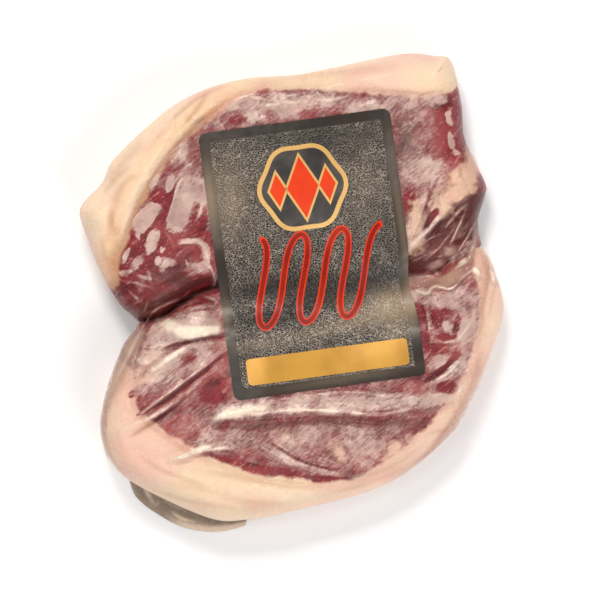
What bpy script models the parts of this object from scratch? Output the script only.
"""Two picanha steaks, sealed side by side in one clear vacuum pouch with a paper label on top.

The pouch is one solid: film drawn tight over both steaks, so its form is theirs. Each steak is a thick
slice with a fat cap along its outer, curved edge. Between the steaks the film sinks into a valley, and
folds fan out from there and from the label. A thin tail of spare film shows under one edge.
The plan is drawn in millimetres, with X to the right and Y away, and is turned into metres at the end.
"""

import math

import bmesh
import bpy
import numpy as np
from mathutils import Vector

MM = 0.001

# Driving sizes, in millimetres
UPPER_THICKNESS = 27.0
LOWER_THICKNESS = 29.0
LABEL_WIDTH = 82.4
LABEL_HEIGHT = 114.0
LABEL_TURN_DEG = 7.8
LABEL_CENTRE = (9.0, 15.0)
LABEL_CORNER = 3.0
LABEL_THICKNESS = 0.35
LABEL_GAP = 0.45
LABEL_DIP = 7.0
LABEL_DIP_PLACE = -7.0  # on the lower steak's side of the valley
LABEL_DIP_WIDTH = 12.0
LABEL_LIFT_REACH = 9.0  # how far past its edge the label holds the film up over the valley
TAIL_THICKNESS = 1.2

# Outer edge of each steak, from the left end of the valley clockwise, and the fat's inner edge
UPPER_EDGE = [(-66, -14), (-74, -6), (-82.5, 8.5), (-87.5, 22), (-90.5, 34.5), (-81, 46), (-75.5, 56.5),
              (-55, 75.5), (-38, 85.5), (-19, 90.5), (5, 92.5), (44.5, 100.5), (60, 100), (68, 97.5),
              (72.5, 79), (74, 64), (82.5, 46), (82.5, 40), (79.5, 29), (81.5, 18.8)]
LOWER_EDGE = [(86, 10), (90.5, -8), (85.5, -26), (77.5, -43.5), (65, -64), (38, -84), (0, -94.5),
              (-19, -98), (-33, -98), (-53, -90), (-71, -80), (-79, -69), (-81.5, -55), (-77, -37.5),
              (-72, -23.5)]
UPPER_FAT_EDGE = [(-82, -4), (-73, 3), (-73.5, 10), (-68.5, 24), (-60, 41), (-49, 58), (-32, 73.5),
                  (-11, 84.5), (16, 84), (41, 80), (62, 79), (68, 84), (80, 83)]
LOWER_FAT_EDGE = [(-82, -26), (-69, -32), (-64, -50), (-50, -62), (-32, -72), (-16, -77), (4, -80),
                  (20, -81), (32, -77), (45, -68), (60, -54), (70, -40), (76, -27), (79, -11), (77, 5),
                  (66, 26)]
# The line where the two steaks meet, from left to right
VALLEY = [(-66, -14), (-55, -11), (-44, -3.5), (-33, 1), (-13, 3), (28, 3), (56, 6), (65, 11), (70.5, 15.7),
          (81.5, 18.8)]
# The film's spare tail, folded under the lower steak's edge
TAIL_EDGE = [(-69, -82), (-66, -88), (-57.5, -94), (-47, -99.5), (-38, -101.5), (-30, -101.5),
             (-20, -99), (-22, -92), (-44, -88), (-60, -80)]

# The pouch's side, from its flat base to the top: (distance in from the edge, share of the height)
SIDE_PROFILE = [(6.0, 0.0), (3.4, 0.02), (1.5, 0.1), (0.4, 0.24), (0.0, 0.42), (0.2, 0.58), (0.8, 0.73),
                (2.0, 0.85), (4.2, 0.94), (7.5, 0.985)]
TOP_INSET = 11.0
# The top of each steak is a fan of rows, from the valley out to its edge
TOP_ROWS = 20
ROW_CROWDING = 1.35  # over 1 puts more rows in the valley
HALF_SPOKES = 66
NOTCH_CROWDING = 0.6  # how much closer the spokes stand where the valley meets the edge

# Height of the valley's floor, and how far each steak's shoulder reaches, at the left and right ends
FLOOR_LEFT, FLOOR_RIGHT = 8.0, 13.0
UPPER_SHOULDER_LEFT, UPPER_SHOULDER_RIGHT = 12.0, 30.0
LOWER_SHOULDER = 10.0
FAT_RISE = 1.8
FAT_STEP_WIDTH = 3.5

# Film folds that stand off the meat: (start, middle, end, height, half width)
FOLDS = [
    ((-27, -21), (-47, -40), (-66, -56), 1.8, 3.4),
    ((-28, -13), (-46, -23), (-62, -40), 1.5, 3.2),
    ((-24, -50), (10, -41), (62, -34), 1.9, 3.6),
    ((-56, -71), (-40, -64), (-18, -60), 1.4, 3.2),
    ((-18, -60), (4, -72), (24, -77), 1.5, 3.2),
    ((8, -80), (24, -86), (44, -82), 1.4, 3.2),
    ((50, 12), (64, 28), (78, 44), 1.8, 3.4),
    ((48, 22), (56, 40), (62, 52), 1.3, 3.2),
    ((52, 3), (62, -4), (76, -2), 1.6, 3.2),
    ((-22, 82), (4, 87), (34, 82), 1.2, 3.0),
]


def smooth_line(points, per_span=10, closed=False):
    """A Catmull-Rom curve through the points, as an array of plan points."""
    p = np.array(points, float)
    before, after = (p[-1:], p[:2]) if closed else (2 * p[:1] - p[1:2], 2 * p[-1:] - p[-2:-1])
    p = np.concatenate([before, p, after])
    t = np.linspace(0, 1, per_span, endpoint=False)[:, None]
    spans = [
        0.5 * (2 * b + (c - a) * t + (2 * a - 5 * b + 4 * c - d) * t**2 + (3 * b - a - 3 * c + d) * t**3)
        for a, b, c, d in zip(p[:-3], p[1:-2], p[2:-1], p[3:])
    ]
    line = np.concatenate(spans)
    return line if closed else np.concatenate([line, p[-2:-1]])


def distance_to(line, x, y):
    """The distance from each plan point to a line, and which side it lies on (positive to the left)."""
    best = np.full(x.shape, 1e9)
    side = np.ones(x.shape)
    for (ax, ay), (bx, by) in zip(line[:-1], line[1:]):
        dx, dy = bx - ax, by - ay
        along = np.clip(((x - ax) * dx + (y - ay) * dy) / (dx * dx + dy * dy), 0, 1)
        gap = np.hypot(x - ax - along * dx, y - ay - along * dy)
        near = gap < best
        best = np.where(near, gap, best)
        side = np.where(near, np.sign(dx * (y - ay) - dy * (x - ax)), side)
    return best, side


def ease(t):
    t = np.clip(t, 0, 1)
    return t * t * (3 - 2 * t)


def label_plan(x, y):
    """Plan points in the label's own axes, from its centre."""
    turn = math.radians(LABEL_TURN_DEG)
    dx, dy = x - LABEL_CENTRE[0], y - LABEL_CENTRE[1]
    return dx * math.cos(turn) + dy * math.sin(turn), dy * math.cos(turn) - dx * math.sin(turn)


def fold_height(fold, x, y):
    """One fold of film: a ridge along a curve, dying out at both ends."""
    start, middle, end, height, half_width = fold
    t = np.linspace(0, 1, 13)[:, None]
    line = np.array(start) * (1 - t) ** 2 + 2 * np.array(middle) * t * (1 - t) + np.array(end) * t**2
    tallest = np.zeros(x.shape)
    for k, (ax, ay) in enumerate(line[1:-1], start=1):
        share = math.sin(math.pi * k / (len(line) - 1)) ** 0.7
        reach = np.hypot(*(line[k + 1] - line[k - 1])) / 2
        tx, ty = (line[k + 1] - line[k - 1]) / (2 * reach)
        along = np.clip((x - ax) * tx + (y - ay) * ty, -reach, reach)
        gap = np.hypot(x - ax - along * tx, y - ay - along * ty)
        tallest = np.maximum(tallest, height * share * np.exp(-((gap / half_width) ** 2)))
    return tallest


VALLEY_LINE = smooth_line(VALLEY)
UPPER_FAT_LINE = smooth_line(UPPER_FAT_EDGE)
LOWER_FAT_LINE = smooth_line(LOWER_FAT_EDGE)


def top_height(x, y):
    """Height of the film's top over each plan point, away from the rounded outer edge."""
    off_valley, above = distance_to(VALLEY_LINE, x, y)
    right = ease((x + 20) / 70)
    floor = FLOOR_LEFT + (FLOOR_RIGHT - FLOOR_LEFT) * right
    upper_reach = UPPER_SHOULDER_LEFT + (UPPER_SHOULDER_RIGHT - UPPER_SHOULDER_LEFT) * right
    reach = np.where(above > 0, upper_reach, LOWER_SHOULDER)
    upper_share = ease(0.5 + above * off_valley / 24)
    thick = LOWER_THICKNESS + (UPPER_THICKNESS - LOWER_THICKNESS) * upper_share
    thick = thick + 0.7 * np.sin(x / 21 + 0.6) * np.cos(y / 17 - 0.4) + 0.4 * np.sin(x / 9 - y / 12)

    for line, outward in ((UPPER_FAT_LINE, 1), (LOWER_FAT_LINE, -1)):
        gap, side = distance_to(line, x, y)
        same_steak = (above > 0) == (outward > 0)
        is_fat = (side > 0) if outward > 0 else (side < 0)
        thick = thick + np.where(same_steak & is_fat, FAT_RISE * ease(gap / FAT_STEP_WIDTH), 0)

    shoulder = np.sqrt(1 - (1 - np.clip(off_valley / reach, 0, 1)) ** 2)
    bare = floor + (thick - floor) * shoulder
    for fold in FOLDS:
        bare = bare + fold_height(fold, x, y)

    # Under the label the film lies flatter, because the label bridges the valley
    signed = above * off_valley
    bridged = thick - LABEL_DIP * np.exp(-(((signed - LABEL_DIP_PLACE) / LABEL_DIP_WIDTH) ** 2))
    u, v = label_plan(x, y)
    outside = np.maximum(np.abs(u) - LABEL_WIDTH / 2, np.abs(v) - LABEL_HEIGHT / 2)
    under_label = ease((LABEL_LIFT_REACH - outside) / (LABEL_LIFT_REACH - 1))
    return bare + (bridged - bare) * under_label


def rim_radius(angles):
    """Distance from the plan's centre to the pouch's outer edge at each angle."""
    edge = smooth_line(UPPER_EDGE + LOWER_EDGE, closed=True)
    a = np.unwrap(np.arctan2(edge[:, 1], edge[:, 0]))
    r = np.hypot(edge[:, 0], edge[:, 1])
    order = np.argsort(np.mod(a, 2 * math.pi))
    return np.interp(angles, np.mod(a, 2 * math.pi)[order], r[order], period=2 * math.pi)


def material(name, colour, roughness):
    made = bpy.data.materials.new(name)
    made.use_nodes = True
    shader = made.node_tree.nodes["Principled BSDF"]
    shader.inputs["Base Color"].default_value = (*colour, 1)
    shader.inputs["Roughness"].default_value = roughness
    return made


def new_object(name, bm, made_of):
    mesh = bpy.data.meshes.new(name)
    bmesh.ops.recalc_face_normals(bm, faces=bm.faces)
    bm.to_mesh(mesh)
    bm.free()
    mesh.materials.append(made_of)
    mesh.shade_smooth()
    for face in mesh.polygons:
        face.use_smooth = face.normal.z > -0.999
    made = bpy.data.objects.new(name, mesh)
    bpy.context.scene.collection.objects.link(made)
    return made


def ring_loop(bm, x, y, z):
    return [bm.verts.new((px * MM, py * MM, pz * MM)) for px, py, pz in zip(x, y, z)]


def join_rings(bm, low, high):
    count = len(low)
    for k in range(count):
        bm.faces.new((low[k], low[(k + 1) % count], high[(k + 1) % count], high[k]))


def spoke_angles():
    """One angle for each spoke, from the valley's right end round both steaks, crowded at the notches."""
    share = np.arange(HALF_SPOKES) / HALF_SPOKES
    share = share - NOTCH_CROWDING * np.sin(2 * math.pi * share) / (2 * math.pi)
    right = math.atan2(VALLEY[-1][1], VALLEY[-1][0])
    left = math.atan2(VALLEY[0][1], VALLEY[0][0]) + 2 * math.pi
    upper = right + (left - right) * share
    lower = left + (right + 2 * math.pi - left) * share
    return np.concatenate([upper, lower]), share


def fan_over(bm, ring, ring_xy, valley, valley_xy):
    """Fills one steak's top with rows of quads that run from the valley to the ring at its edge."""
    below = valley
    for row in range(1, TOP_ROWS + 1):
        t = (row / TOP_ROWS) ** ROW_CROWDING
        if row < TOP_ROWS:
            xy = valley_xy * (1 - t) + ring_xy * t
            inner = xy[1:-1]
            made = ring_loop(bm, inner[:, 0], inner[:, 1], top_height(inner[:, 0], inner[:, 1]))
            above = [ring[0], *made, ring[-1]]
        else:
            above = ring
        for k in range(len(ring) - 1):
            corners = [below[k], below[k + 1], above[k + 1], above[k]]
            bm.faces.new(list(dict.fromkeys(corners)))
        below = above


def pouch_body(made_of):
    """Rings of points from the flat base up the rounded side, then a fan of rows over each steak."""
    angles, share = spoke_angles()
    rim = rim_radius(angles)
    ux, uy = np.cos(angles), np.sin(angles)
    inner_x, inner_y = (rim - TOP_INSET) * ux, (rim - TOP_INSET) * uy
    inner_z = top_height(inner_x, inner_y)
    bm = bmesh.new()
    rings = [ring_loop(bm, (rim - i) * ux, (rim - i) * uy, part * inner_z) for i, part in SIDE_PROFILE]
    rings.append(ring_loop(bm, inner_x, inner_y, inner_z))
    for low, high in zip(rings[:-1], rings[1:]):
        join_rings(bm, low, high)

    # The valley's points, from right to left, joined to the ring at the two notches
    half = HALF_SPOKES
    x = inner_x[0] + (inner_x[half] - inner_x[0]) * np.append(share, 1)
    y = np.interp(x, VALLEY_LINE[:, 0], VALLEY_LINE[:, 1])
    y[0], y[-1] = inner_y[0], inner_y[half]
    valley_xy = np.stack([x, y], 1)
    made = ring_loop(bm, x[1:-1], y[1:-1], top_height(x[1:-1], y[1:-1]))
    valley = [rings[-1][0], *made, rings[-1][half]]
    ring_xy = np.stack([inner_x, inner_y], 1)
    fan_over(bm, rings[-1][: half + 1], ring_xy[: half + 1], valley, valley_xy)
    lower_ring = [*rings[-1][half:], rings[-1][0]]
    lower_xy = np.concatenate([ring_xy[half:], ring_xy[:1]])
    fan_over(bm, lower_ring, lower_xy, valley[::-1], valley_xy[::-1])
    bm.faces.new(list(reversed(rings[0])))
    return new_object("vacuum_pouch", bm, made_of)


def tail_of_film(made_of):
    """The tail's outline, drawn up into a thin slab. It is joined to the pouch and then removed."""
    bm = bmesh.new()
    outline = smooth_line(TAIL_EDGE, per_span=4, closed=True)
    low = ring_loop(bm, outline[:, 0], outline[:, 1], np.zeros(len(outline)))
    face = bm.faces.new(low)
    lifted = bmesh.ops.extrude_face_region(bm, geom=[face])["geom"]
    top = [v for v in lifted if isinstance(v, bmesh.types.BMVert)]
    bmesh.ops.translate(bm, verts=top, vec=(0, 0, TAIL_THICKNESS * MM))
    return new_object("tail", bm, made_of)


def join_tail(pouch, tail):
    union = pouch.modifiers.new("tail", "BOOLEAN")
    union.operation = "UNION"
    union.solver = "EXACT"
    union.object = tail
    bpy.context.view_layer.objects.active = pouch
    bpy.ops.object.modifier_apply(modifier=union.name)
    bpy.data.objects.remove(tail)


def label_sheet(made_of):
    """A thin sheet with rounded corners that follows the film's top a small gap above it."""
    columns, rows = 15, 22
    half_w, half_h = LABEL_WIDTH / 2, LABEL_HEIGHT / 2
    u, v = np.meshgrid(np.linspace(-half_w, half_w, columns), np.linspace(-half_h, half_h, rows))
    # A corner point moves in along its diagonal, so that the corner is cut round
    corner = (np.abs(u) > half_w - 0.1) & (np.abs(v) > half_h - 0.1)
    pull = np.where(corner, LABEL_CORNER * (1 - math.sqrt(0.5)), 0)
    u, v = u - np.sign(u) * pull, v - np.sign(v) * pull
    turn = math.radians(LABEL_TURN_DEG)
    x = LABEL_CENTRE[0] + u * math.cos(turn) - v * math.sin(turn)
    y = LABEL_CENTRE[1] + u * math.sin(turn) + v * math.cos(turn)
    z = top_height(x, y) + LABEL_GAP
    bm = bmesh.new()
    under = [ring_loop(bm, x[r], y[r], z[r]) for r in range(rows)]
    over = [ring_loop(bm, x[r], y[r], z[r] + LABEL_THICKNESS) for r in range(rows)]
    for sheet, flip in ((under, True), (over, False)):
        for r in range(rows - 1):
            for c in range(columns - 1):
                quad = [sheet[r][c], sheet[r][c + 1], sheet[r + 1][c + 1], sheet[r + 1][c]]
                bm.faces.new(quad[::-1] if flip else quad)
    edge = [(0, c) for c in range(columns)] + [(r, columns - 1) for r in range(1, rows)]
    edge += [(rows - 1, c) for c in range(columns - 2, -1, -1)] + [(r, 0) for r in range(rows - 2, 0, -1)]
    join_rings(bm, [under[r][c] for r, c in edge], [over[r][c] for r, c in edge])
    return new_object("front_label", bm, made_of)


def centre_on_base(objects):
    """Puts the origin under the middle of the whole pack, on the surface that it lies on."""
    corners = np.array([v.co for o in objects for v in o.data.vertices])
    low, high = corners.min(0), corners.max(0)
    shift = Vector((-(low[0] + high[0]) / 2, -(low[1] + high[1]) / 2, -low[2]))
    for o in objects:
        for v in o.data.vertices:
            v.co += shift


def main():
    for old in list(bpy.data.objects):
        bpy.data.objects.remove(old)
    film = material("clear_film_over_meat", (0.52, 0.22, 0.2), 0.2)
    paper = material("black_label", (0.03, 0.028, 0.026), 0.4)
    pouch = pouch_body(film)
    join_tail(pouch, tail_of_film(film))
    label = label_sheet(paper)
    centre_on_base([pouch, label])


main()
